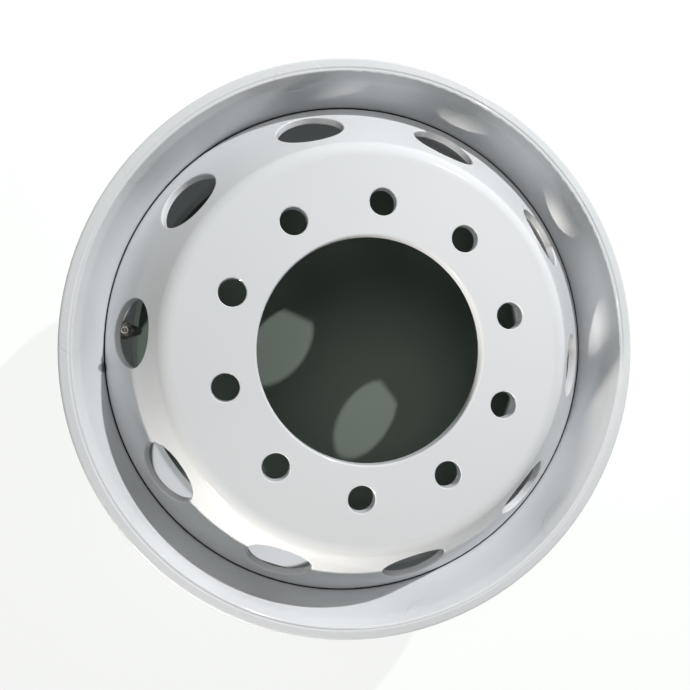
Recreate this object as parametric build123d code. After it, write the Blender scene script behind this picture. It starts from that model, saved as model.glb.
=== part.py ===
from build123d import *
import math
import os

# Steel disc wheel for a tubeless tyre, hub piloted, ten stud holes.
# Millimetres. The wheel lies on its inboard flange with its axis on Z,
# and the convex side of the disc is up. The origin is on the axis, at the floor.

# Rim
BEAD_SEAT_DIAMETER = 571.5
RIM_WIDTH = 209.5
BEAD_SEAT_ANGLE = 15.0
RIM_WALL = 5.5
FLANGE_HEIGHT = 12.7
FLANGE_WIDTH = 10.0
HEEL_RADIUS = 6.5
FLANGE_LEAN_RADIUS = 6.0
FLANGE_EDGE_RADIUS = 3.4
LIP_FACE_WIDTH = 9.6
LIP_CREASE_WIDTH = 1.6
LIP_CREASE_DEPTH = 0.8
LIP_BEAD_WIDTH = 2.2
LIP_BEAD_RISE = 0.4
LIP_BLEND_RADIUS = 2.0
OUTBOARD_LEDGE_LENGTH = 44.0
DISC_SEAT_LENGTH = 40.0
OUTBOARD_SLOPE_LENGTH = 24.0
WELL_LENGTH = 31.0
INBOARD_SLOPE_LENGTH = 24.0
WELL_DEPTH = 27.5
SEAT_BEND_RADIUS = 12.0
WELL_BEND_RADIUS = 8.0
FLARE_BEND_RADIUS = 20.0

# Disc
NAVE_OUTSET = 153.0
NAVE_THICKNESS = 12.0
NAVE_VERTEX_RADIUS = 196.0
NAVE_BEND_RADIUS = 20.0
WALL_THICKNESS_INNER = 9.5
WALL_THICKNESS_OUTER = 7.0
SHOULDER_RADIUS = 14.0
SHOULDER_RISE = 0.2
SKIRT_THICKNESS = 6.5
WELD_MARGIN = 0.5
SEAT_CLEARANCE = 0.03
EDGE_ROUND = 1.2

# Hub and studs
HUB_BORE_DIAMETER = 220.1
HUB_BORE_FRONT_ROUND = 2.4
HUB_BORE_BACK_ROUND = 1.5
STUD_CIRCLE_DIAMETER = 285.75
STUD_HOLE_DIAMETER = 26.7
STUD_HOLE_CHAMFER = 0.8
STUD_COUNT = 10
FIRST_STUD_ANGLE = 85.8

# Hand holes, midway between the studs
HAND_HOLE_DIAMETER = 69.2
HAND_HOLE_SHIFT = 1.0
HAND_HOLE_ROUND = 1.4

# Weld round the skirt's inboard edge
WELD_LEG = 6.0
WELD_BULGE = 0.6

# Valve
VALVE_HOLE_DIAMETER = 15.8
VALVE_HAND_HOLE = 2
VALVE_ANGLE_OFFSET = -0.6
VALVE_AXIS_SHIFT = 7.8
VALVE_MOUTH_DROP = 57.5
STEM_BEND_RADIUS = 14.0
STEM_TUBE_DIAMETER = 8.6
STEM_AIR_BORE = 3.6
MOUTH_THREAD_DIAMETER = 7.7
MOUTH_THREAD_LENGTH = 11.0
MOUTH_ROUND = 0.5
MOUTH_COUNTERSINK = 0.4
COLLAR_DIAMETER = 12.2
COLLAR_LENGTH = 29.0
COLLAR_TAPER = 1.8
BASE_THREAD_DIAMETER = 12.2
BASE_THREAD_SPARE = 2.0
BASE_BUTTON_DIAMETER = 19.0
BASE_BUTTON_THICKNESS = 2.5
GROMMET_FLANGE_DIAMETER = 20.4
GROMMET_FLANGE_THICKNESS = 3.5
GROMMET_NECK_SHORT = 0.3
GROMMET_CLEARANCE = 0.03
GROMMET_ROUND = 0.6
WASHER_DIAMETER = 20.0
WASHER_THICKNESS = 2.0
WASHER_CLEARANCE = 0.2
WASHER_ROUND = 0.5
FACE_GAP = 0.02
NUT_ACROSS_FLATS = 17.0
NUT_THICKNESS = 6.0
NUT_CHAMFER = 0.9

# Valve core, seated in the mouth
CORE_THREAD_DIAMETER = 5.2
THREAD_CLEARANCE = 0.03
CORE_RECESS = 1.2
CORE_HEAD_LENGTH = 5.2
TONGUE_WIDTH = 2.4
TONGUE_HEIGHT = 1.8
AIR_PORT_WIDTH = 0.7
AIR_PORT_RADIUS = 1.6
GASKET_THICKNESS = 1.4
CORE_PLUG_DIAMETER = 4.0
CORE_PLUG_LENGTH = 9.0
CORE_WALL_END = 1.0
CORE_CHAMBER_BORE = 3.3
CORE_CHAMBER_DIAMETER = 4.4
CORE_BORE_SPARE = 3.0
PIN_DIAMETER = 1.2
PIN_CLEARANCE = 0.06
PIN_RECESS = 0.4
PIN_ROUND = 0.3
PIN_COLLAR_DIAMETER = 2.6
PIN_COLLAR_LENGTH = 1.0
PIN_COLLAR_DROP = 0.4
PIN_TRAVEL = 1.2
CUP_DIAMETER = 3.2
CUP_LENGTH = 1.4
CUP_ROUND = 0.4
SPRING_WIRE = 0.3
SPRING_DIAMETER = 2.9
SPRING_TURNS = 5

# How far cutting tools run past the faces they cut
CUT_REACH = 2.0

# Heights and radii worked out from the sizes above
SEAT_RADIUS = BEAD_SEAT_DIAMETER / 2
FLANGE_RADIUS = SEAT_RADIUS + FLANGE_HEIGHT
CENTRE_PLANE = RIM_WIDTH / 2 + FLANGE_WIDTH
OUTBOARD_BEAD = CENTRE_PLANE + RIM_WIDTH / 2
INBOARD_BEAD = CENTRE_PLANE - RIM_WIDTH / 2
NAVE_TOP = CENTRE_PLANE + NAVE_OUTSET
TAPER = math.tan(math.radians(BEAD_SEAT_ANGLE))
STUD_STEP = 360 / STUD_COUNT
FIRST_HAND_ANGLE = FIRST_STUD_ANGLE + STUD_STEP / 2
VALVE_ANGLE = FIRST_HAND_ANGLE + VALVE_HAND_HOLE * STUD_STEP + VALVE_ANGLE_OFFSET
MERIDIAN = Plane.XZ


def offset_vertex(before, point, after, gap_before, gap_after):
    """Corner of a line pair moved to the right of its direction by the two gaps."""
    one = (Vector(*point) - Vector(*before)).normalized()
    two = (Vector(*after) - Vector(*point)).normalized()
    side_one = Vector(one.Y, -one.X)
    side_two = Vector(two.Y, -two.X)
    spread = one.X * two.Y - one.Y * two.X
    shift = side_two * gap_after - side_one * gap_before
    along = (shift.X * two.Y - shift.Y * two.X) / spread
    corner = Vector(*point) + side_one * gap_before + one * along
    return corner.X, corner.Y


def ring(points, radii):
    """Solid of revolution from a closed outline of (radius, height) points."""
    outline = FilletPolyline(*points, radius=radii, close=True)
    return revolve(MERIDIAN * make_face(outline), Axis.Z)


def rim_strip():
    """Tyre side corners of the strip between the two heels, from the top down."""
    ledge_drop = OUTBOARD_LEDGE_LENGTH * TAPER
    seat_end = OUTBOARD_LEDGE_LENGTH + DISC_SEAT_LENGTH
    well_start = seat_end + OUTBOARD_SLOPE_LENGTH
    well_end = well_start + WELL_LENGTH
    ledge_end = well_end + INBOARD_SLOPE_LENGTH
    inboard_radius = SEAT_RADIUS - (RIM_WIDTH - ledge_end) * TAPER
    return [
        (SEAT_RADIUS, OUTBOARD_BEAD),
        (SEAT_RADIUS - ledge_drop, OUTBOARD_BEAD - OUTBOARD_LEDGE_LENGTH),
        (SEAT_RADIUS - ledge_drop, OUTBOARD_BEAD - seat_end),
        (SEAT_RADIUS - WELL_DEPTH, OUTBOARD_BEAD - well_start),
        (SEAT_RADIUS - WELL_DEPTH, OUTBOARD_BEAD - well_end),
        (inboard_radius, OUTBOARD_BEAD - ledge_end),
        (SEAT_RADIUS, INBOARD_BEAD),
    ]


STRIP = rim_strip()
STRIP_INNER = [
    offset_vertex(STRIP[i - 1], STRIP[i], STRIP[i + 1], RIM_WALL, RIM_WALL)
    for i in range(1, len(STRIP) - 1)
]
DISC_SEAT_RADIUS = STRIP_INNER[1][0]
DISC_SEAT_END = STRIP_INNER[1][1]
SLOPE_ANGLE = math.atan2(STRIP[2][0] - STRIP[3][0], STRIP[2][1] - STRIP[3][1])


def flange_outline(side):
    """Corners and radii of one flange from the bead face to the gutter.

    side is 1 for the outboard flange and -1 for the inboard one."""
    bead = CENTRE_PLANE + side * RIM_WIDTH / 2
    face = bead + side * FLANGE_WIDTH
    lip_edge = FLANGE_RADIUS - LIP_FACE_WIDTH
    crease = lip_edge - LIP_CREASE_WIDTH
    lip_bead = crease - LIP_BEAD_WIDTH
    gutter = SEAT_RADIUS - RIM_WALL / math.cos(math.radians(BEAD_SEAT_ANGLE))
    points = [
        (SEAT_RADIUS, bead),
        (FLANGE_RADIUS, bead),
        (FLANGE_RADIUS, face),
        (lip_edge, face),
        (crease, face - side * LIP_CREASE_DEPTH),
        (lip_bead, face - side * (LIP_CREASE_DEPTH - LIP_BEAD_RISE)),
        (gutter, bead),
    ]
    radii = [
        HEEL_RADIUS,
        FLANGE_LEAN_RADIUS,
        FLANGE_EDGE_RADIUS,
        LIP_BLEND_RADIUS,
        LIP_BLEND_RADIUS,
        LIP_BLEND_RADIUS,
        FLARE_BEND_RADIUS,
    ]
    return points, radii


def valve_line():
    """Middle of the slope's straight stretch on the tyre side, and its normal."""
    top = Vector(*STRIP[2])
    bottom = Vector(*STRIP[3])
    along = (bottom - top).normalized()
    half = math.tan(SLOPE_ANGLE / 2)
    start = (SEAT_BEND_RADIUS + RIM_WALL) * half
    end = (bottom - top).length - WELL_BEND_RADIUS * half
    return top + along * (start + end) / 2, Vector(along.Y, -along.X)


VALVE_FOOT, VALVE_NORMAL = valve_line()


def at_valve_angle(shape):
    """Turns a shape modelled in the XZ plane to the valve's place round the rim."""
    return Rotation(0, 0, VALVE_ANGLE) * shape


def on_valve_hole(shape):
    """Stands a shape on the slope: its Z runs from the tyre side towards the axis."""
    foot = Vector(VALVE_FOOT.X, 0, VALVE_FOOT.Y)
    out = Vector(VALVE_NORMAL.X, 0, VALVE_NORMAL.Y)
    return at_valve_angle(Plane(foot, x_dir=(0, 1, 0), z_dir=out) * shape)


def make_rim():
    """Rolled ring with both flanges, bead seats, disc seat, well and valve hole."""
    upper, upper_radii = flange_outline(1)
    lower, lower_radii = flange_outline(-1)
    strip_radii = [
        SEAT_BEND_RADIUS,
        SEAT_BEND_RADIUS + RIM_WALL,
        WELL_BEND_RADIUS,
        WELL_BEND_RADIUS,
        SEAT_BEND_RADIUS + RIM_WALL,
    ]
    inner_radii = [
        SEAT_BEND_RADIUS + RIM_WALL,
        SEAT_BEND_RADIUS,
        WELL_BEND_RADIUS + RIM_WALL,
        WELL_BEND_RADIUS + RIM_WALL,
        SEAT_BEND_RADIUS,
    ]
    points = upper[::-1] + STRIP[1:-1] + lower + STRIP_INNER[::-1]
    radii = upper_radii[::-1] + strip_radii + lower_radii + inner_radii[::-1]
    body = ring(points, radii)
    hole = Cylinder(VALVE_HOLE_DIAMETER / 2, 2 * (RIM_WALL + CUT_REACH))
    return body - on_valve_hole(hole)


# The disc's outline: outer corners run from the bore to the skirt's edge
SKIRT_RADIUS = DISC_SEAT_RADIUS - SEAT_CLEARANCE
SEAT_BEND_LENGTH = SEAT_BEND_RADIUS * math.tan(SLOPE_ANGLE / 2)
SKIRT_END = DISC_SEAT_END + SEAT_BEND_LENGTH + WELD_MARGIN + WELD_LEG
BORE_RADIUS = HUB_BORE_DIAMETER / 2
SHOULDER_HEIGHT = STRIP[1][1] + SHOULDER_RISE
WALL_SLOPE = (NAVE_TOP - SHOULDER_HEIGHT) / (SKIRT_RADIUS - NAVE_VERTEX_RADIUS)
WALL_ANGLE = math.degrees(math.atan(WALL_SLOPE))
HAND_HOLE_RADIUS = (NAVE_VERTEX_RADIUS + SKIRT_RADIUS) / 2 + HAND_HOLE_SHIFT
HAND_HOLE_HEIGHT = NAVE_TOP - (HAND_HOLE_RADIUS - NAVE_VERTEX_RADIUS) * WALL_SLOPE
DISC_OUTER = [
    (BORE_RADIUS, NAVE_TOP),
    (NAVE_VERTEX_RADIUS, NAVE_TOP),
    (SKIRT_RADIUS, SHOULDER_HEIGHT),
    (SKIRT_RADIUS, SKIRT_END),
]


def make_disc():
    """Spun plate: flat nave, conical wall, skirt, bore, stud holes and hand holes."""
    nave_inner = offset_vertex(*DISC_OUTER[:3], NAVE_THICKNESS, WALL_THICKNESS_INNER)
    shoulder_inner = offset_vertex(*DISC_OUTER[1:], WALL_THICKNESS_OUTER, SKIRT_THICKNESS)
    points = DISC_OUTER + [
        (SKIRT_RADIUS - SKIRT_THICKNESS, SKIRT_END),
        shoulder_inner,
        nave_inner,
        (BORE_RADIUS, NAVE_TOP - NAVE_THICKNESS),
    ]
    radii = [
        HUB_BORE_FRONT_ROUND,
        NAVE_BEND_RADIUS,
        SHOULDER_RADIUS,
        0,
        EDGE_ROUND,
        SHOULDER_RADIUS - SKIRT_THICKNESS,
        NAVE_BEND_RADIUS - NAVE_THICKNESS,
        HUB_BORE_BACK_ROUND,
    ]
    body = ring(points, radii)
    for index in range(STUD_COUNT):
        body -= Rotation(0, 0, FIRST_STUD_ANGLE + index * STUD_STEP) * stud_cutter()
    for index in range(STUD_COUNT):
        body -= Rotation(0, 0, FIRST_HAND_ANGLE + index * STUD_STEP) * hand_cutter()
    return fillet(body.edges().filter_by(is_hand_hole_edge), HAND_HOLE_ROUND)


def stud_cutter():
    """One stud hole with a small chamfer at each face of the nave."""
    radius = STUD_HOLE_DIAMETER / 2
    middle = NAVE_TOP - NAVE_THICKNESS / 2
    cutter = Cylinder(radius, NAVE_THICKNESS + 2 * CUT_REACH)
    flare_height = 2 * STUD_HOLE_CHAMFER
    flare = Cone(radius, radius + flare_height, flare_height)
    top = Pos(0, 0, NAVE_THICKNESS / 2) * flare
    bottom = Pos(0, 0, -NAVE_THICKNESS / 2) * Rotation(180, 0, 0) * flare
    return Pos(STUD_CIRCLE_DIAMETER / 2, 0, middle) * (cutter + top + bottom)


def hand_cutter():
    """One hand hole, punched square to the disc's conical wall."""
    place = Pos(HAND_HOLE_RADIUS, 0, HAND_HOLE_HEIGHT)
    half_width = HAND_HOLE_DIAMETER / 2
    sag = HAND_HOLE_RADIUS - math.sqrt(HAND_HOLE_RADIUS**2 - half_width**2)
    reach = WALL_THICKNESS_INNER + sag + CUT_REACH
    return place * Rotation(0, WALL_ANGLE, 0) * Cylinder(half_width, 2 * reach)


def is_hand_hole_edge(edge):
    """True for the rims of the hand holes: closed edges centred near their circle."""
    middle = edge.center(CenterOf.BOUNDING_BOX)
    off_circle = abs(math.hypot(middle.X, middle.Y) - HAND_HOLE_RADIUS)
    return edge.is_closed and off_circle < HAND_HOLE_DIAMETER / 2


def make_disc_weld():
    """Fillet weld between the skirt's inboard edge and the rim."""
    corner = (DISC_SEAT_RADIUS, SKIRT_END)
    toe_disc = (DISC_SEAT_RADIUS - WELD_LEG, SKIRT_END)
    toe_rim = (DISC_SEAT_RADIUS, SKIRT_END - WELD_LEG)
    middle = WELD_LEG / 2 + WELD_BULGE / math.sqrt(2)
    bulge = (DISC_SEAT_RADIUS - middle, SKIRT_END - middle)
    face = ThreePointArc(toe_disc, bulge, toe_rim)
    sides = Polyline(toe_rim, corner, toe_disc)
    return revolve(MERIDIAN * make_face([face, sides]), Axis.Z)


# Stations along the valve hole's axis, from the rim's tyre side
SLOPE_CURVE = VALVE_FOOT.X / -VALVE_NORMAL.X
WASHER_SAG = (WASHER_DIAMETER / 2) ** 2 / (2 * (SLOPE_CURVE - RIM_WALL))
WASHER_FOOT = RIM_WALL + WASHER_SAG + FACE_GAP
NUT_FOOT = WASHER_FOOT + WASHER_THICKNESS
BASE_TOP = NUT_FOOT + NUT_THICKNESS + BASE_THREAD_SPARE
BUTTON_TOP = -GROMMET_FLANGE_THICKNESS

# The mouth's axis, through the hand hole, and heights along it
VALVE_AXIS_RADIUS = HAND_HOLE_RADIUS + VALVE_AXIS_SHIFT
MOUTH_TOP = NAVE_TOP - VALVE_MOUTH_DROP
HEAD_TOP = -CORE_RECESS
HEAD_FOOT = HEAD_TOP - CORE_HEAD_LENGTH
SEAT_TOP = HEAD_FOOT - GASKET_THICKNESS
BARREL_FOOT = HEAD_FOOT - CORE_PLUG_LENGTH
CHAMBER_TOP = HEAD_TOP - TONGUE_HEIGHT - CORE_WALL_END
CHAMBER_FOOT = BARREL_FOOT + CORE_WALL_END
COLLAR_FOOT = CHAMBER_TOP - PIN_COLLAR_DROP - PIN_COLLAR_LENGTH
CORE_BORE_FOOT = BARREL_FOOT - CUP_LENGTH - PIN_TRAVEL - CORE_BORE_SPARE


def on_mouth(shape):
    """Places a shape on the mouth's upright axis, with zero at the mouth's face."""
    return at_valve_angle(Pos(VALVE_AXIS_RADIUS, 0, MOUTH_TOP) * shape)


def stem_path(top_drop):
    """Centre line of the stem from the button to top_drop below the mouth."""
    foot = VALVE_FOOT + VALVE_NORMAL * (BUTTON_TOP - BASE_BUTTON_THICKNESS)
    reach = (foot.X - VALVE_AXIS_RADIUS) / -VALVE_NORMAL.X
    knee = foot + VALVE_NORMAL * reach
    top = (VALVE_AXIS_RADIUS, MOUTH_TOP - top_drop)
    corners = [(foot.X, foot.Y), (knee.X, knee.Y), top]
    return MERIDIAN * FilletPolyline(*corners, radius=STEM_BEND_RADIUS)


def tube_on(path, radius):
    start = Plane(path @ 0, z_dir=path % 0)
    return at_valve_angle(sweep(start * Circle(radius), path))


def make_valve_stem():
    """Bent brass body: base button and thread, tube, collar, mouth and bores."""
    shoulder = MOUTH_THREAD_LENGTH + COLLAR_TAPER
    collar_foot = shoulder + COLLAR_LENGTH
    stem = tube_on(stem_path(collar_foot - COLLAR_TAPER), STEM_TUBE_DIAMETER / 2)
    mouth = ring(
        [
            (0, 0),
            (MOUTH_THREAD_DIAMETER / 2, 0),
            (MOUTH_THREAD_DIAMETER / 2, -MOUTH_THREAD_LENGTH),
            (COLLAR_DIAMETER / 2, -shoulder),
            (COLLAR_DIAMETER / 2, -collar_foot),
            (STEM_TUBE_DIAMETER / 2, -collar_foot - COLLAR_TAPER),
            (0, -collar_foot - COLLAR_TAPER),
        ],
        [0, MOUTH_ROUND, 0, 0, 0, 0, 0],
    )
    base_height = BASE_TOP - BUTTON_TOP
    base = Pos(0, 0, BUTTON_TOP) * Cylinder(
        BASE_THREAD_DIAMETER / 2, base_height, align=(Align.CENTER, Align.CENTER, Align.MIN)
    )
    button = Pos(0, 0, BUTTON_TOP) * Cylinder(
        BASE_BUTTON_DIAMETER / 2,
        BASE_BUTTON_THICKNESS,
        align=(Align.CENTER, Align.CENTER, Align.MAX),
    )
    stem += on_mouth(mouth)
    stem += on_valve_hole(base)
    stem += on_valve_hole(button)
    stem -= tube_on(stem_path(-CORE_BORE_FOOT), STEM_AIR_BORE / 2)
    return stem - on_mouth(core_bore())


def core_bore():
    """The stem's bore for the core: thread, seat cone and lower chamber."""
    thread = CORE_THREAD_DIAMETER / 2
    chamber = CORE_CHAMBER_DIAMETER / 2
    cone = thread - chamber
    return ring(
        [
            (0, CUT_REACH),
            (thread + MOUTH_COUNTERSINK, CUT_REACH),
            (thread + MOUTH_COUNTERSINK, 0),
            (thread, -MOUTH_COUNTERSINK),
            (thread, SEAT_TOP),
            (chamber, SEAT_TOP - cone),
            (chamber, CORE_BORE_FOOT),
            (0, CORE_BORE_FOOT),
        ],
        [0] * 8,
    )


def make_valve_grommet():
    """Rubber bush: a flange under the button and a neck through the rim."""
    bore = BASE_THREAD_DIAMETER / 2 + GROMMET_CLEARANCE
    neck = VALVE_HOLE_DIAMETER / 2 - GROMMET_CLEARANCE
    flange = GROMMET_FLANGE_DIAMETER / 2
    neck_top = RIM_WALL - GROMMET_NECK_SHORT
    body = ring(
        [
            (bore, BUTTON_TOP),
            (flange, BUTTON_TOP),
            (flange, 0),
            (neck, 0),
            (neck, neck_top),
            (bore, neck_top),
        ],
        [0, GROMMET_ROUND, GROMMET_ROUND, 0, GROMMET_ROUND, 0],
    )
    return on_valve_hole(body)


def make_valve_washer():
    """Flat ring between the rim and the nut."""
    bore = BASE_THREAD_DIAMETER / 2 + WASHER_CLEARANCE
    outer = WASHER_DIAMETER / 2
    corners = [
        (bore, WASHER_FOOT),
        (outer, WASHER_FOOT),
        (outer, NUT_FOOT),
        (bore, NUT_FOOT),
    ]
    return on_valve_hole(ring(corners, [0, 0, WASHER_ROUND, 0]))


def make_valve_nut():
    """Hexagon nut with chamfered corners, run down onto the washer."""
    corner_radius = NUT_ACROSS_FLATS / math.sqrt(3)
    prism = extrude(RegularPolygon(corner_radius, 6), NUT_THICKNESS)
    chamfer_ring = ring(
        [
            (0, 0),
            (corner_radius - NUT_CHAMFER, 0),
            (corner_radius, NUT_CHAMFER / 2),
            (corner_radius, NUT_THICKNESS - NUT_CHAMFER / 2),
            (corner_radius - NUT_CHAMFER, NUT_THICKNESS),
            (0, NUT_THICKNESS),
        ],
        [0] * 6,
    )
    bore = Cylinder(BASE_THREAD_DIAMETER / 2 + THREAD_CLEARANCE, 2 * (NUT_THICKNESS + CUT_REACH))
    return on_valve_hole(Pos(0, 0, NUT_FOOT) * ((prism & chamfer_ring) - bore))


def make_core_barrel():
    """Core housing: key tongue, threaded head, and plug with the spring chamber."""
    head = CORE_THREAD_DIAMETER / 2 - THREAD_CLEARANCE
    plug = CORE_PLUG_DIAMETER / 2
    chamber = CORE_CHAMBER_BORE / 2
    guide = PIN_DIAMETER / 2 + PIN_CLEARANCE
    port = guide + AIR_PORT_WIDTH
    body = ring(
        [
            (guide, HEAD_TOP),
            (head, HEAD_TOP),
            (head, HEAD_FOOT),
            (plug, HEAD_FOOT),
            (plug, BARREL_FOOT),
            (port, BARREL_FOOT),
            (port, CHAMBER_FOOT),
            (chamber, CHAMBER_FOOT),
            (chamber, CHAMBER_TOP),
            (guide, CHAMBER_TOP),
        ],
        [0] * 10,
    )
    flat = Box(
        CORE_THREAD_DIAMETER,
        CORE_THREAD_DIAMETER,
        TONGUE_HEIGHT,
        align=(Align.MIN, Align.CENTER, Align.MAX),
    )
    hole = Cylinder(
        AIR_PORT_WIDTH / 2,
        HEAD_TOP - CHAMBER_TOP + AIR_PORT_WIDTH,
        align=(Align.CENTER, Align.CENTER, Align.MAX),
    )
    for turn in (0, 180):
        body -= Rotation(0, 0, turn) * Pos(TONGUE_WIDTH / 2, 0, HEAD_TOP) * flat
        body -= Rotation(0, 0, turn) * Pos(AIR_PORT_RADIUS, 0, HEAD_TOP) * hole
    return on_mouth(body)


def make_core_gasket():
    """Sealing ring between the core's head and the seat cone in the stem."""
    inner = CORE_PLUG_DIAMETER / 2 + THREAD_CLEARANCE
    outer = CORE_THREAD_DIAMETER / 2 - THREAD_CLEARANCE
    corners = [
        (inner, HEAD_FOOT),
        (outer, HEAD_FOOT),
        (outer, SEAT_TOP),
        (inner, SEAT_TOP - (outer - inner)),
    ]
    return on_mouth(ring(corners, [0] * 4))


def make_core_pin():
    """Plunger pin with the collar that the spring pushes against."""
    pin = PIN_DIAMETER / 2
    collar = PIN_COLLAR_DIAMETER / 2
    corners = [
        (0, -PIN_RECESS),
        (pin, -PIN_RECESS),
        (pin, COLLAR_FOOT + PIN_COLLAR_LENGTH),
        (collar, COLLAR_FOOT + PIN_COLLAR_LENGTH),
        (collar, COLLAR_FOOT),
        (pin, COLLAR_FOOT),
        (pin, BARREL_FOOT),
        (0, BARREL_FOOT),
    ]
    return on_mouth(ring(corners, [0, PIN_ROUND, 0, 0, 0, 0, 0, 0]))


def make_core_cup():
    """Sealing cup fixed to the pin's inner end, closing the barrel from below."""
    radius = CUP_DIAMETER / 2
    corners = [
        (0, BARREL_FOOT),
        (radius, BARREL_FOOT),
        (radius, BARREL_FOOT - CUP_LENGTH),
        (0, BARREL_FOOT - CUP_LENGTH),
    ]
    return on_mouth(ring(corners, [0, 0, CUP_ROUND, 0]))


def make_core_spring():
    """Return spring between the chamber's floor and the pin's collar."""
    wire = SPRING_WIRE / 2
    height = COLLAR_FOOT - CHAMBER_FOOT - SPRING_WIRE
    centre_line = Helix(height / SPRING_TURNS, height, SPRING_DIAMETER / 2 - wire)
    section = Plane(centre_line @ 0, z_dir=centre_line % 0) * Circle(wire)
    coil = sweep(section, centre_line, is_frenet=True)
    return on_mouth(Pos(0, 0, CHAMBER_FOOT + wire) * coil)


PARTS = {
    "rim": make_rim,
    "disc": make_disc,
    "disc_weld": make_disc_weld,
    "valve_stem": make_valve_stem,
    "valve_grommet": make_valve_grommet,
    "valve_washer": make_valve_washer,
    "valve_nut": make_valve_nut,
    "core_barrel": make_core_barrel,
    "core_gasket": make_core_gasket,
    "core_pin": make_core_pin,
    "core_cup": make_core_cup,
    "core_spring": make_core_spring,
}


def main():
    os.makedirs("parts", exist_ok=True)
    for name, maker in PARTS.items():
        solid = maker()
        solid.label = name
        export_step(solid, f"parts/{name}.step")


main()
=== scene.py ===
import math

import bpy
from mathutils import Matrix, Vector


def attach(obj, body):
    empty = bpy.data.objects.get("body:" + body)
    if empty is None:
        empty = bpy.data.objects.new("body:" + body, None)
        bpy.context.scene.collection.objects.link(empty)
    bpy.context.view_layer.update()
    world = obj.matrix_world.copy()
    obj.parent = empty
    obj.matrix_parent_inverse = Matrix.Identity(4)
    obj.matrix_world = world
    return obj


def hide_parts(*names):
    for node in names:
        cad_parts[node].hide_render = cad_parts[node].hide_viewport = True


# Steel disc wheel, lying on its inboard flange. Metres, +Z up the wheel's axis.
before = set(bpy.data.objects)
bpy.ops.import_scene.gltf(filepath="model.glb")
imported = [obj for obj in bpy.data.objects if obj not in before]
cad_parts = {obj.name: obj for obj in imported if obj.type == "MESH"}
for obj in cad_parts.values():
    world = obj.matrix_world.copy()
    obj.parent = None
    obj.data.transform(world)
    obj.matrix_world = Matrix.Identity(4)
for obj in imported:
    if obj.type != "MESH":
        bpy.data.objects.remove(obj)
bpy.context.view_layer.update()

MM = 0.001

# Camera, as it stands over the photographed wheel
PHOTO_WIDTH = 690
FOCAL_LENGTH_PX = 561.44
PRINCIPAL_POINT_PX = (327.105, 347.255)
SENSOR_WIDTH_MM = 36.0
CAMERA_PLACE = (-0.1158, 0.0069, 0.79335)
CAMERA_TILT = (-0.007, -0.136, 0.0)

# Lamps, with their sizes as (height, width): a small key from the upper right, a warm strip low
# at the lower left that is aimed in through the hand holes, a soft panel high at the upper left
# that no gloss mirrors, and a sky
KEY = {
    "azimuth": 54.0,
    "elevation": 40.0,
    "distance": 2.6,
    "size": (0.045, 0.045),
    "power": 60.0,
    "colour": (1.0, 1.0, 1.0),
}
STRIP = {
    "azimuth": 230.0,
    "elevation": 10.3,
    "distance": 2.5,
    "size": (0.16, 0.26),
    "power": 0.56,
    "colour": (1.0, 0.95, 0.88),
    "aim": (0.055, -0.045, 0.225),
    "spread": 13.0,
}
PANEL = {
    "azimuth": 135.0,
    "elevation": 70.0,
    "distance": 2.5,
    "size": (1.1, 1.1),
    "power": 12.5,
    "colour": (1.0, 0.99, 0.97),
    "mirrored": False,
}
SKY_STRENGTH = 0.125
SKY_COLOUR = (0.93, 1.0, 0.88, 1.0)
BACKDROP_WHITE = (1.0, 1.0, 1.0, 1.0)

# Floor: a dark olive grey under the wheel, lifted to white for the camera outside its flange
FLOOR_SIZE = 8.0
FLOOR_COLOUR = (0.165, 0.2, 0.17, 1.0)
FLOOR_LIFT = 0.85
FLOOR_UNDER, FLOOR_OUTSIDE = 0.275, 0.3

# Places on the wheel that its finishes follow
CREVICE_RADIUS = 268.4 * MM
CREVICE_HALF = (2.6 * MM, 1.8 * MM)
CREVICE_TOP = 176.3 * MM
CREVICE_FOOT = 168.0 * MM
LIP_START = 281.0 * MM
HAND_HOLE_FIRST = math.radians(103.8)
HAND_HOLE_STEP = math.radians(36.0)
HAND_HOLE_RADIUS = 233.215 * MM
HAND_HOLE_HEIGHT = 220.454 * MM
HAND_HOLE_HALF = 34.6 * MM
CUT_FACE_REACH = (1.3 * MM, 0.5 * MM)
TORN_BELOW = (-3.0 * MM, -4.2 * MM)
WALL_ANGLE = math.radians(51.802)
DARK_SPOT_ANGLE = math.radians(183.9)
DARK_SPOT_HALF = (3.4 * MM, 5.5 * MM)
DARK_SPOT_EDGE = (1.35, 0.45)

# Colours
ENAMEL_COLOUR = (0.685, 0.7, 0.725, 1.0)
SPECK_COLOUR = (0.45, 0.46, 0.46, 1.0)
DARK_SPOT_COLOUR = (0.10, 0.125, 0.12, 1.0)
# painted shade for the crevice where the disc meets the rim
CREVICE_SHADE_COLOUR = (0.045, 0.052, 0.053, 1.0)
# painted shade: the valve's metal coloured dark
VALVE_SHADE_COLOUR = (0.17, 0.17, 0.15, 1.0)
# painted highlight: the pale rim of the valve's mouth
MOUTH_HIGHLIGHT_COLOUR = (0.62, 0.62, 0.58, 1.0)
PLATE_COLOUR = (0.42, 0.39, 0.33, 1.0)
# painted shade: the valve core's brass coloured dark, deep in the mouth
SHADED_BRASS_COLOUR = (0.16, 0.14, 0.10, 1.0)
WIRE_COLOUR = (0.40, 0.40, 0.38, 1.0)
RUBBER_COLOURS = (0.02, 0.02, 0.02, 1), (0.05, 0.05, 0.048, 1)

# Relief from noise, as (cells per metre, detail, depth, strength)
PAINT_WAVES = (14.0, 1.0, 0.8 * MM, 0.35)
PAINT_PEEL = (360.0, 2.0, 0.03 * MM, 0.35)
WELD_GRAIN = (700.0, 3.0, 0.25 * MM, 0.5)
METAL_SCRATCHES = (3000.0, 2.0, 0.04 * MM, 0.4)
VALVE_SCRATCHES = (2400.0, 2.0, 0.04 * MM, 0.4)
RUBBER_GRAIN = (2500.0, 2.0, 0.08 * MM, 0.5)

# Cells per metre across the lip's rolled lines and per radian along them, and in the cut faces
LINES_ACROSS, LINES_ALONG = 420.0, 7.0
TEAR_ACROSS, TEAR_THROUGH = 500.0, 90.0
RUNS_SCALE = 260.0

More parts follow.
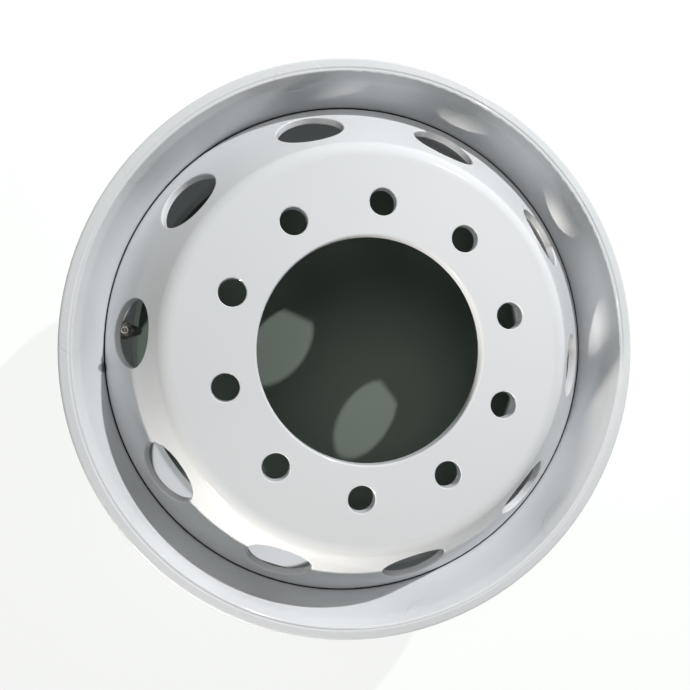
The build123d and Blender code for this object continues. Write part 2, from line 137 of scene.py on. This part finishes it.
# Valve
VALVE_ANGLE = math.radians(175.2)
VALVE_BASE_RUN, VALVE_BASE_RISE = 0.83668, 0.54769
VALVE_LEAN = math.atan2(VALVE_BASE_RUN, VALVE_BASE_RISE)
MOUTH_THREAD = {"root": 3.4 * MM, "crest": 3.85 * MM, "pitch": 0.8 * MM, "turns": 12}
MOUTH_THREAD_FOOT = 10.6 * MM
MOUTH_THREAD_SHOULDER = 11.1 * MM
MOUTH_BORE = 3.0 * MM
BASE_THREAD = {"root": 5.55 * MM, "crest": 6.1 * MM, "pitch": 0.95 * MM, "turns": 2}
NUT_TOP = 13.68 * MM
BASE_TOP = 15.68 * MM
BASE_STEP = (NUT_TOP - 0.4 * MM, NUT_TOP - 0.3 * MM)
BASE_THREAD_FOOT = NUT_TOP - 0.35 * MM
NEAR = 0.05 * MM

# Threads: half of the wound section, what counts as crest and the bevel, in pitches
THREAD_STEPS = 32
THREAD_HALF = 0.46
THREAD_CREST_FROM = 0.1
THREAD_BEVEL = 0.09
THREAD_SUNK = 0.1 * MM

# Weld round the disc's inboard edge. The waves round it are (count, height, phase)
WELD_CORNER = (268.46 * MM, 147.218 * MM)
WELD_LEG = 6.0 * MM
WELD_BULGE = 0.6 * MM
WELD_RIPPLES = 396
WELD_STEPS = 4
WELD_RIPPLE_DEPTH = 0.42 * MM
WELD_FACE_POINTS = 9
WELD_FACE_FROM = 0.9
RIPPLE_BOW = 0.45
RIPPLE_CURVE = 0.7
RIPPLE_WANDER = ((11, 0.18, 0.0), (29, 0.12, 1.3))
RIPPLE_SWELL = ((47, 0.35, 0.4), (83, 0.25, 0.0))


class Value:
    """A socket in a material. Arithmetic on it adds Math nodes."""

    def __init__(self, finish, socket):
        self.finish = finish
        self.socket = socket

    def math(self, operation, first, second):
        return self.finish.node("ShaderNodeMath", {"operation": operation}, {0: first, 1: second})

    def __add__(self, other):
        return self.math("ADD", self, other)

    def __radd__(self, other):
        return self.math("ADD", other, self)

    def __sub__(self, other):
        return self.math("SUBTRACT", self, other)

    def __rsub__(self, other):
        return self.math("SUBTRACT", other, self)

    def __mul__(self, other):
        return self.math("MULTIPLY", self, other)

    def __rmul__(self, other):
        return self.math("MULTIPLY", other, self)

    def __truediv__(self, other):
        return self.math("DIVIDE", self, other)

    def __pow__(self, other):
        return self.math("POWER", self, other)


class Finish:
    """A material that is being mixed, and the nodes in it."""

    def __init__(self, owner):
        owner.use_nodes = True
        self.owner = owner
        self.tree = owner.node_tree
        self.tree.nodes.clear()

    def node(self, kind, settings, inputs, output=0):
        """Adds a node. Its settings come first, then the values or links of its sockets."""
        new = self.tree.nodes.new(kind)
        for name, setting in settings.items():
            setattr(new, name, setting)
        for name, value in inputs.items():
            if isinstance(value, Value):
                self.tree.links.new(value.socket, new.inputs[name])
            else:
                new.inputs[name].default_value = value
        return Value(self, new.outputs[output]) if new.outputs else None

    def place(self):
        return self.node("ShaderNodeTexCoord", {}, {}, output="Object")

    def axes(self):
        """The X, Y and Z of the place."""
        return [self.node("ShaderNodeSeparateXYZ", {}, {0: self.place()}, i) for i in range(3)]

    def curve(self, operation, value, second=0.0, third=0.0):
        """A function of a value, such as SINE, or WRAP with its two limits."""
        return self.node(
            "ShaderNodeMath", {"operation": operation}, {0: value, 1: second, 2: third}
        )

    def join(self, x, y, z):
        return self.node("ShaderNodeCombineXYZ", {}, {0: x, 1: y, 2: z})

    def mix(self, factor, one, other):
        """One colour at factor 0, the other at factor 1."""
        return self.node("ShaderNodeMix", {"data_type": "RGBA"}, {0: factor, 6: one, 7: other}, 2)

    def noise(self, scale, detail=2.0, roughness=0.5, at=None):
        """Soft noise from 0 to 1, scale in cells per metre."""
        inputs = {
            "Vector": at or self.place(),
            "Scale": scale,
            "Detail": detail,
            "Roughness": roughness,
        }
        return self.node("ShaderNodeTexNoise", {}, inputs)

    def specks(self, scale, size, share):
        """1 inside scattered round specks. size in cells, share of the cells that hold one."""
        cells = {"Vector": self.place(), "Scale": scale}
        near = self.node("ShaderNodeTexVoronoi", {}, cells, "Distance")
        pick = self.node("ShaderNodeTexVoronoi", {}, cells, "Color")
        pick = self.node("ShaderNodeSeparateColor", {}, {0: pick})
        return self.step(near, size, 0.5 * size) * self.step(pick, 1 - share, 1.02 - share)

    def step(self, value, low, high):
        """0 at low, 1 at high, smooth between them."""
        start, end = (0.0, 1.0) if low <= high else (1.0, 0.0)
        inputs = {
            "Value": value,
            "From Min": min(low, high),
            "From Max": max(low, high),
            "To Min": start,
            "To Max": end,
        }
        return self.node("ShaderNodeMapRange", {"interpolation_type": "SMOOTHSTEP"}, inputs)

    def bump(self, height, distance, strength=1.0, normal=None):
        inputs = {"Height": height, "Distance": distance, "Strength": strength}
        if normal:
            inputs["Normal"] = normal
        return self.node("ShaderNodeBump", {}, inputs)

    def relief(self, grain, normal=None):
        """Bump from noise, on top of another bump where one is given."""
        scale, detail, depth, strength = grain
        return self.bump(self.noise(scale, detail), depth, strength, normal)

    def surface(self, shader):
        self.node("ShaderNodeOutputMaterial", {}, {"Surface": shader})
        return self.owner

    def principled(self, inputs):
        return self.surface(self.node("ShaderNodeBsdfPrincipled", {}, inputs))


def darker(colour, share):
    return tuple(c * share for c in colour[:3]) + (1.0,)


def wheel_enamel(name, weld=False):
    """Glossy white paint on steel: soft waves, rolled lines on the lip, rough cut faces,
    painted shade that darkens the crevice where the disc meets the rim, and a few specks."""
    paint = Finish(bpy.data.materials.new(name))
    x, y, z = paint.axes()
    radius = (x * x + y * y) ** 0.5
    angle = paint.curve("ARCTAN2", y, x)

    # cut faces of the hand holes, in a frame that repeats from hole to hole
    turn = paint.curve("WRAP", angle - HAND_HOLE_FIRST, HAND_HOLE_STEP / 2, -HAND_HOLE_STEP / 2)
    across = radius * paint.curve("SINE", turn)
    out = radius * paint.curve("COSINE", turn) - HAND_HOLE_RADIUS
    up = z - HAND_HOLE_HEIGHT
    down_wall = out * math.cos(WALL_ANGLE) - up * math.sin(WALL_ANGLE)
    through = out * math.sin(WALL_ANGLE) + up * math.cos(WALL_ANGLE)
    from_axis = (across * across + down_wall * down_wall) ** 0.5
    cut_face = paint.step(from_axis, *(HAND_HOLE_HALF + reach for reach in CUT_FACE_REACH))
    torn = cut_face * paint.step(through, *TORN_BELOW)

    # the crevice, and a small dark spot beside it
    deep = paint.step(z, CREVICE_TOP + 0.9 * MM, CREVICE_TOP - 0.3 * MM)
    deep = deep * paint.step(z, CREVICE_FOOT - 1 * MM, CREVICE_FOOT)
    at_seat = paint.step(paint.curve("ABSOLUTE", radius - CREVICE_RADIUS), *CREVICE_HALF)
    # painted shade: down in the crevice the enamel is darkened nearly to black, and given more
    # roughness and less coat
    crevice_shade = deep * at_seat
    along = (angle - math.remainder(DARK_SPOT_ANGLE, 2 * math.pi)) * CREVICE_RADIUS
    beside = (radius - CREVICE_RADIUS) / DARK_SPOT_HALF[0]
    along = along / DARK_SPOT_HALF[1]
    dark_spot = paint.step(beside * beside + along * along, *DARK_SPOT_EDGE)

    # colour: a faint drift in the spray, and painted shade darkening the crevice
    drift = paint.step(paint.noise(6.0, 3.0), 0.35, 0.7)
    base = paint.mix(drift, ENAMEL_COLOUR, darker(ENAMEL_COLOUR, 0.975))
    base = paint.mix(paint.specks(34.0, 0.016, 0.22), base, SPECK_COLOUR)
    base = paint.mix(torn * 0.5, base, darker(ENAMEL_COLOUR, 0.94))
    base = paint.mix(dark_spot * 0.78, base, DARK_SPOT_COLOUR)
    base = paint.mix(crevice_shade * 0.95, base, CREVICE_SHADE_COLOUR)

    # relief
    normal = paint.relief(PAINT_WAVES)
    normal = paint.relief(PAINT_PEEL, normal)
    lines = paint.node(
        "ShaderNodeTexNoise",
        {"noise_dimensions": "4D"},
        {
            "Vector": paint.join(
                radius * LINES_ACROSS, x / radius * LINES_ALONG, y / radius * LINES_ALONG
            ),
            "W": z * LINES_ACROSS,
            "Scale": 1.0,
            "Detail": 3.0,
            "Roughness": 0.55,
        },
    )
    on_lip = paint.step(radius, LIP_START - 2 * MM, LIP_START + 3 * MM)
    normal = paint.bump(lines * (0.25 + 0.75 * on_lip), 0.12 * MM, 0.4, normal)
    torn_place = paint.join(across * TEAR_ACROSS, down_wall * TEAR_ACROSS, through * TEAR_THROUGH)
    tear = paint.noise(1.0, 3.0, 0.6, torn_place)
    runs = paint.noise(RUNS_SCALE, 2.0)
    normal = paint.bump(tear * torn + 1.3 * (runs * cut_face), 0.5 * MM, 0.5, normal)
    if weld:
        normal = paint.relief(WELD_GRAIN, normal)

    return paint.principled(
        {
            "Base Color": base,
            "Roughness": 0.5 + 0.08 * paint.noise(40.0, 4.0) + 0.1 * torn + 0.2 * crevice_shade,
            "IOR": 1.5,
            "Specular IOR Level": 0.1,
            "Coat Weight": 0.8 - 0.8 * crevice_shade,
            "Coat Roughness": 0.08,
            "Coat IOR": 1.45,
            "Normal": normal,
        }
    )


def plain_metal(name, colour, rough, spread):
    """Bare or plated metal with a cloudy tarnish and fine scratches."""
    metal = Finish(bpy.data.materials.new(name))
    cloud = metal.noise(900.0, 3.0)
    return metal.principled(
        {
            "Base Color": metal.mix(metal.step(cloud, 0.35, 0.75), colour, darker(colour, 0.55)),
            "Metallic": 1.0,
            "Roughness": rough + spread * cloud,
            "Normal": metal.relief(METAL_SCRATCHES),
        }
    )


def valve_metal(name):
    """The valve's brass coloured dark as painted shade, with a painted highlight round the rim of
    the mouth.
    """
    metal = Finish(bpy.data.materials.new(name))
    z = metal.axes()[2]
    cloud = metal.noise(700.0, 3.0)
    base = metal.mix(metal.step(cloud, 0.35, 0.7), VALVE_SHADE_COLOUR, darker(VALVE_SHADE_COLOUR, 0.6))
    # painted highlight: pale colour and less roughness over the top of the mouth
    mouth_highlight = metal.step(z + 0.3 * MM * cloud, VALVE_MOUTH.z - 0.9 * MM, VALVE_MOUTH.z - 0.2 * MM)
    return metal.principled(
        {
            "Base Color": metal.mix(mouth_highlight, base, MOUTH_HIGHLIGHT_COLOUR),
            "Metallic": 1.0,
            "Roughness": 0.3 + 0.2 * cloud - 0.12 * mouth_highlight,
            "Normal": metal.relief(VALVE_SCRATCHES),
        }
    )


def black_rubber(name):
    rubber = Finish(bpy.data.materials.new(name))
    cloud = rubber.noise(500.0, 3.0)
    return rubber.principled(
        {
            "Base Color": rubber.mix(cloud, *RUBBER_COLOURS),
            "Roughness": 0.6 + 0.2 * cloud,
            "Normal": rubber.relief(RUBBER_GRAIN),
        }
    )


def seen(paint):
    """1 for rays from the camera, and for those that gloss and glass send on."""
    rays = [
        paint.node("ShaderNodeLightPath", {}, {}, output=name)
        for name in ("Is Camera Ray", "Is Glossy Ray", "Is Transmission Ray")
    ]
    return paint.curve("MINIMUM", rays[0] + rays[1] + rays[2], 1.0)


def floor_finish():
    """Matt floor. Outside the wheel it is lifted to white for the camera, and keeps its shadow."""
    paint = Finish(bpy.data.materials.new("floor_matt"))
    matt = paint.node("ShaderNodeBsdfDiffuse", {}, {"Color": FLOOR_COLOUR, "Roughness": 0.0})
    x, y = paint.axes()[:2]
    outside = paint.step((x * x + y * y) ** 0.5, FLOOR_UNDER, FLOOR_OUTSIDE)
    lift = outside * seen(paint) * FLOOR_LIFT
    glow = paint.node("ShaderNodeEmission", {}, {"Color": BACKDROP_WHITE, "Strength": lift})
    return paint.surface(paint.node("ShaderNodeAddShader", {}, {0: matt, 1: glow}))


def give(piece, material):
    """Gives a piece its finish in every slot."""
    if not piece.material_slots:
        piece.data.materials.append(material)
    for slot in piece.material_slots:
        slot.material = material


def at_valve(radius, height):
    """A place on the half plane from the wheel's axis through the valve."""
    return Vector((radius * math.cos(VALVE_ANGLE), radius * math.sin(VALVE_ANGLE), height))


VALVE_MOUTH = at_valve(241.015 * MM, 210.25 * MM)
VALVE_FOOT = at_valve(265.329 * MM, 122.315 * MM)

ENAMEL = wheel_enamel("wheel_enamel")
WELD_ENAMEL = wheel_enamel("weld_enamel", weld=True)
VALVE = valve_metal("valve_shade_and_highlight")
PLATE = plain_metal("valve_plate", PLATE_COLOUR, 0.25, 0.25)
# painted shade: the core's brass is given a dark colour where it sits deep in the mouth
BRASS = plain_metal("core_brass", SHADED_BRASS_COLOUR, 0.25, 0.2)
WIRE = plain_metal("core_wire", WIRE_COLOUR, 0.25, 0.15)
RUBBER = black_rubber("grommet_rubber")

FINISHES = {
    "rim": ENAMEL,
    "disc": ENAMEL,
    "disc_weld": WELD_ENAMEL,
    "valve_stem": VALVE,
    "valve_washer": PLATE,
    "valve_nut": PLATE,
    "core_barrel": BRASS,
    "core_cup": BRASS,
    "core_pin": WIRE,
    "core_spring": WIRE,
    "valve_grommet": RUBBER,
    "core_gasket": RUBBER,
}
for node, material in FINISHES.items():
    give(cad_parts[node], material)


def select_only(piece):
    bpy.ops.object.select_all(action="DESELECT")
    piece.select_set(True)
    bpy.context.view_layer.objects.active = piece


def edit(piece):
    """Opens one piece in edit mode, with nothing else selected."""
    select_only(piece)
    bpy.ops.object.mode_set(mode="EDIT")


def pick(piece, wanted):
    """Selects the vertices whose place passes a test, in a piece that is open in edit mode."""
    bpy.ops.mesh.select_mode(type="VERT")
    bpy.ops.mesh.select_all(action="DESELECT")
    bpy.ops.object.mode_set(mode="OBJECT")
    for vertex in piece.data.vertices:
        vertex.select = wanted(vertex.co)
    bpy.ops.object.mode_set(mode="EDIT")


def set_in_place(piece, matrix):
    """Puts a piece that was made at the origin in its place, and applies that."""
    piece.matrix_world = matrix
    select_only(piece)
    bpy.ops.object.transform_apply(location=True, rotation=True, scale=True)


def finish_piece(piece, material, smooth=35.0):
    select_only(piece)
    bpy.ops.object.shade_smooth_by_angle(angle=math.radians(smooth))
    give(piece, material)
    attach(piece, "wheel")


def apply_modifiers(piece):
    bpy.context.view_layer.objects.active = piece
    for modifier in list(piece.modifiers):
        bpy.ops.object.modifier_apply(modifier=modifier.name)


def wind_thread(name, root, crest, pitch, turns):
    """One thread on Z, from 0 upwards, wound by Screw, with its ends closed and run out."""

    def at_crest(co):
        return math.hypot(co.x, co.y) > root + THREAD_CREST_FROM * pitch

    bpy.ops.object.select_all(action="DESELECT")
    half = pitch * THREAD_HALF
    bpy.ops.mesh.primitive_circle_add(
        vertices=4, radius=half, rotation=(math.pi / 2, 0, 0), location=(root, 0, 0)
    )
    thread = bpy.context.object
    thread.name = name
    bpy.ops.object.transform_apply(location=True, rotation=True, scale=True)
    edit(thread)
    pick(thread, at_crest)
    bpy.ops.transform.translate(value=(crest - root - half, 0, 0))
    bpy.ops.mesh.bevel(offset=pitch * THREAD_BEVEL, segments=1, affect="VERTICES")
    bpy.ops.object.mode_set(mode="OBJECT")
    wind = thread.modifiers.new("wind", "SCREW")
    wind.axis = "Z"
    wind.angle = 2 * math.pi
    wind.screw_offset = pitch
    wind.iterations = turns
    wind.steps = wind.render_steps = THREAD_STEPS
    apply_modifiers(thread)

    # the ends sink into the core over a third of a turn
    run_out = pitch / 3
    points = sorted({round(v.co.z, 7) for v in thread.data.vertices if at_crest(v.co)})
    low, high = points[0], points[-1]
    for vertex in thread.data.vertices:
        co = vertex.co
        near_end = min(co.z - low, high - co.z)
        if at_crest(co) and near_end < run_out:
            reach = math.hypot(co.x, co.y)
            share = near_end / run_out
            wanted = root - THREAD_SUNK + (reach - root + THREAD_SUNK) * share
            co.x *= wanted / reach
            co.y *= wanted / reach
    edit(thread)
    bpy.ops.mesh.select_all(action="DESELECT")
    bpy.ops.mesh.select_non_manifold()
    bpy.ops.mesh.fill_holes(sides=0)
    bpy.ops.mesh.select_all(action="SELECT")
    bpy.ops.mesh.normals_make_consistent(inside=False)
    bpy.ops.object.mode_set(mode="OBJECT")
    return thread


def valve_axis(foot, lean):
    """Turns a piece's +Z to the valve's line at a place on it."""
    turn = Matrix.Rotation(VALVE_ANGLE, 4, "Z") @ Matrix.Rotation(-lean, 4, "Y")
    return Matrix.Translation(foot) @ turn


def make_valve_body():
    """The stem as it is, with both threads sunk to their roots, ready for the ridges."""
    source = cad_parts["valve_stem"]
    body = bpy.data.objects.new("valve_body", source.data.copy())
    bpy.context.collection.objects.link(body)
    edit(body)
    bpy.ops.mesh.select_all(action="SELECT")
    bpy.ops.mesh.remove_doubles(threshold=0.002 * MM)
    base_line = valve_axis(VALVE_FOOT, VALVE_LEAN)
    up_base = base_line.to_3x3() @ Vector((0, 0, 1))
    for station in BASE_STEP:
        bpy.ops.mesh.select_all(action="SELECT")
        bpy.ops.mesh.bisect(plane_co=VALVE_FOOT + up_base * station, plane_no=up_base)
    bpy.ops.object.mode_set(mode="OBJECT")
    to_base = base_line.inverted()
    share = (MOUTH_THREAD["root"] - MOUTH_BORE) / (MOUTH_THREAD["crest"] - MOUTH_BORE)
    for vertex in body.data.vertices:
        co = vertex.co
        flat = Vector((co.x - VALVE_MOUTH.x, co.y - VALVE_MOUTH.y))
        in_thread = VALVE_MOUTH.z - co.z < MOUTH_THREAD_SHOULDER
        if in_thread and MOUTH_BORE + NEAR < flat.length < MOUTH_THREAD["crest"] + 2 * NEAR:
            wanted = MOUTH_BORE + (flat.length - MOUTH_BORE) * share
            co.x = VALVE_MOUTH.x + flat.x * wanted / flat.length
            co.y = VALVE_MOUTH.y + flat.y * wanted / flat.length
        local = to_base @ co
        reach = math.hypot(local.x, local.y)
        in_thread = BASE_THREAD_FOOT < local.z < BASE_TOP + NEAR
        if in_thread and BASE_THREAD["root"] < reach < BASE_THREAD["crest"] + NEAR:
            local.x *= BASE_THREAD["root"] / reach
            local.y *= BASE_THREAD["root"] / reach
            vertex.co = base_line @ local
    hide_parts("valve_stem")
    finish_piece(body, VALVE)


def make_valve_threads():
    mouth = wind_thread("mouth_thread", **MOUTH_THREAD)
    foot = VALVE_MOUTH - Vector((0, 0, MOUTH_THREAD_FOOT))
    set_in_place(mouth, valve_axis(foot, 0.0))
    finish_piece(mouth, VALVE)
    base = wind_thread("base_thread", **BASE_THREAD)
    line = valve_axis(VALVE_FOOT, VALVE_LEAN)
    start = BASE_TOP - BASE_THREAD["pitch"] * BASE_THREAD["turns"] - THREAD_SUNK
    foot = VALVE_FOOT + line.to_3x3() @ Vector((0, 0, start))
    set_in_place(base, valve_axis(foot, VALVE_LEAN))
    finish_piece(base, VALVE)


def weld_outline():
    """The weld's cross-section: its corner, then its bulged face from toe to toe."""
    corner_radius, corner_height = WELD_CORNER
    sag = WELD_BULGE
    chord = WELD_LEG * math.sqrt(2)
    arc = (chord * chord / 4 + sag * sag) / (2 * sag)
    half = math.asin(chord / 2 / arc)
    depth = WELD_LEG / math.sqrt(2)
    outline = [(corner_radius - NEAR, corner_height - NEAR)]
    for index in range(WELD_FACE_POINTS):
        turn = -half + 2 * half * index / (WELD_FACE_POINTS - 1)
        away = depth + arc * math.cos(turn) - (arc - sag)
        side = arc * math.sin(turn)
        radius = corner_radius - (away - side) / math.sqrt(2)
        height = corner_height - (away + side) / math.sqrt(2)
        outline.append((radius, height))
    return outline


def waves(turn, table, level=0.0):
    """A level with waves round the wheel added to it."""
    return sum((height * math.sin(count * turn + phase) for count, height, phase in table), level)


def make_weld_bead():
    """The fillet weld with the ripples that the torch leaves, bowed the way it ran."""
    outline = weld_outline()
    bpy.ops.object.select_all(action="DESELECT")
    bpy.ops.mesh.primitive_circle_add(vertices=len(outline), radius=WELD_LEG)
    bead = bpy.context.object
    bead.name = "weld_bead"
    for vertex, (radius, height) in zip(bead.data.vertices, outline):
        vertex.co = (radius, 0, height)
    edit(bead)
    bpy.ops.mesh.select_all(action="SELECT")
    bpy.ops.mesh.spin(
        steps=WELD_RIPPLES * WELD_STEPS,
        angle=2 * math.pi,
        center=(0, 0, 0),
        axis=(0, 0, 1),
        use_auto_merge=False,
    )
    bpy.ops.mesh.select_all(action="SELECT")
    bpy.ops.mesh.remove_doubles(threshold=0.01 * MM)
    bpy.ops.mesh.normals_make_consistent(inside=False)
    bpy.ops.object.mode_set(mode="OBJECT")
    corner_radius, corner_height = WELD_CORNER
    for vertex in bead.data.vertices:
        co = vertex.co
        radius = math.hypot(co.x, co.y)
        inward, below = corner_radius - radius, corner_height - co.z
        if inward + below < WELD_LEG * WELD_FACE_FROM:
            continue
        middle = 1 - abs(inward - below) / WELD_LEG
        middle = max(0.0, min(1.0, middle))
        turn = math.atan2(co.y, co.x)
        phase = WELD_RIPPLES * turn / (2 * math.pi) - RIPPLE_BOW * middle
        phase += waves(turn, RIPPLE_WANDER)
        ripple = (phase % 1.0) ** RIPPLE_CURVE
        swell = waves(turn, RIPPLE_SWELL, 1.0)
        sink = WELD_RIPPLE_DEPTH * (1 - ripple) * swell * middle ** 0.5
        co.x += co.x / radius * sink / math.sqrt(2)
        co.y += co.y / radius * sink / math.sqrt(2)
        co.z += sink / math.sqrt(2)
    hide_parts("disc_weld")
    finish_piece(bead, WELD_ENAMEL, smooth=50.0)


def add_floor():
    bpy.ops.object.select_all(action="DESELECT")
    bpy.ops.mesh.primitive_plane_add(size=FLOOR_SIZE, location=(0, 0, 0))
    floor = bpy.context.object
    floor.name = "floor"
    floor.data.materials.append(floor_finish())


def add_lamp(
    name,
    azimuth,
    elevation,
    distance,
    size,
    power,
    colour,
    aim=(0, 0, 0),
    spread=180.0,
    mirrored=True,
):
    """A lamp that faces the wheel from a height and a side, in degrees."""
    data = bpy.data.lights.new(name, "AREA")
    data.shape = "ELLIPSE" if size[0] == size[1] else "RECTANGLE"
    data.size_y, data.size = size
    data.energy = power
    data.color = colour
    data.spread = math.radians(spread)
    lamp = bpy.data.objects.new(name, data)
    side, rise = math.radians(azimuth), math.radians(elevation)
    flat = math.cos(rise) * distance
    lamp.location = (flat * math.cos(side), flat * math.sin(side), math.sin(rise) * distance)
    lamp.rotation_euler = (Vector(aim) - lamp.location).to_track_quat("-Z", "Y").to_euler()
    lamp.visible_camera = False
    lamp.visible_glossy = mirrored
    bpy.context.collection.objects.link(lamp)


def add_sky():
    """A plain sky that lights the wheel, and white where it is seen."""
    world = bpy.data.worlds.new("sky")
    bpy.context.scene.world = world
    sky = Finish(world)
    lit = sky.node("ShaderNodeBackground", {}, {"Color": SKY_COLOUR, "Strength": SKY_STRENGTH})
    white = sky.node("ShaderNodeBackground", {}, {"Color": BACKDROP_WHITE, "Strength": 1.0})
    mixed = sky.node("ShaderNodeMixShader", {}, {0: seen(sky), 1: lit, 2: white})
    sky.node("ShaderNodeOutputWorld", {}, {"Surface": mixed})


def add_camera():
    data = bpy.data.cameras.new("camera")
    data.sensor_width = SENSOR_WIDTH_MM
    data.lens = FOCAL_LENGTH_PX * SENSOR_WIDTH_MM / PHOTO_WIDTH
    data.shift_x = 0.5 - PRINCIPAL_POINT_PX[0] / PHOTO_WIDTH
    data.shift_y = PRINCIPAL_POINT_PX[1] / PHOTO_WIDTH - 0.5
    data.clip_start = 0.01
    camera = bpy.data.objects.new("camera", data)
    camera.location = CAMERA_PLACE
    camera.rotation_euler = CAMERA_TILT
    bpy.context.collection.objects.link(camera)
    bpy.context.scene.camera = camera


make_valve_body()
make_valve_threads()
make_weld_bead()
add_floor()
add_lamp("key", **KEY)
add_lamp("strip", **STRIP)
add_lamp("panel", **PANEL)
add_sky()
add_camera()
bpy.context.scene.view_settings.view_transform = "Standard"
